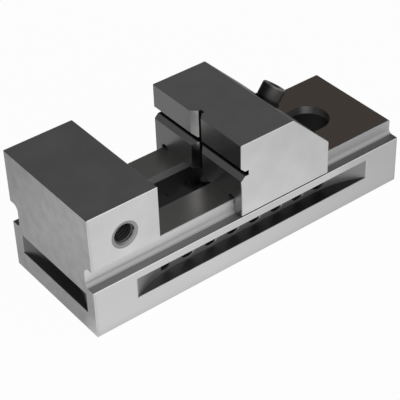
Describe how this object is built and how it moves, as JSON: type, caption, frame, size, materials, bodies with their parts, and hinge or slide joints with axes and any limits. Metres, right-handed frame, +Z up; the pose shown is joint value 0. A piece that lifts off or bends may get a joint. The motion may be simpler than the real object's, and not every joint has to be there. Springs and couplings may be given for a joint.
{
  "type": "precision vise",
  "caption": "Quick-adjust precision vise in ground steel with a sliding vee-grooved jaw, pulled down by an inclined socket screw whose cross nut hooks into notches under the bed.",
  "frame": {"origin": "centre of the footprint, on the plane the vise stands on", "axes": "+X along the bed from the fixed jaw towards the open end, +Y across the bed to the far side, +Z up"},
  "size_m": [0.2, 0.073, 0.0728],
  "materials": {
    "ground_steel": "satin",
    "black_oxide_steel": "satin",
    "plain_steel": "satin"
  },
  "bodies": {
    "body": {"vise_body": "ground_steel"},
    "jaw": {"movable_jaw": "ground_steel"},
    "washer": {"domed_washer": "black_oxide_steel"},
    "screw": {"clamp_screw": "black_oxide_steel"},
    "nut": {"cross_nut": "plain_steel"}
  },
  "joints": [
    {"name": "jaw_slide", "type": "slide", "parent": "body", "child": "jaw", "axis": [1, 0, 0], "range_m": [-0.05035, 0.05]},
    {"name": "screw_swing", "type": "hinge", "parent": "jaw", "child": "washer", "pos_m": [0.04294, 0, 0.06748], "axis": [0, -1, 0], "range_deg": [0, 5]},
    {"name": "screw_turn", "type": "hinge", "parent": "washer", "child": "screw", "pos_m": [0.04294, 0, 0.06748], "axis": [-0.595, 0, -0.8037], "range_deg": [-540, 360]},
    {"name": "nut_travel", "type": "slide", "parent": "washer", "child": "nut", "axis": [0.595, 0, 0.8037], "range_m": [-0.00187, 0.00125]}
  ],
  "couplings": [
    {"joint": "screw_turn", "follows": "nut_travel", "rad_per_m": 5026.5}
  ]
}
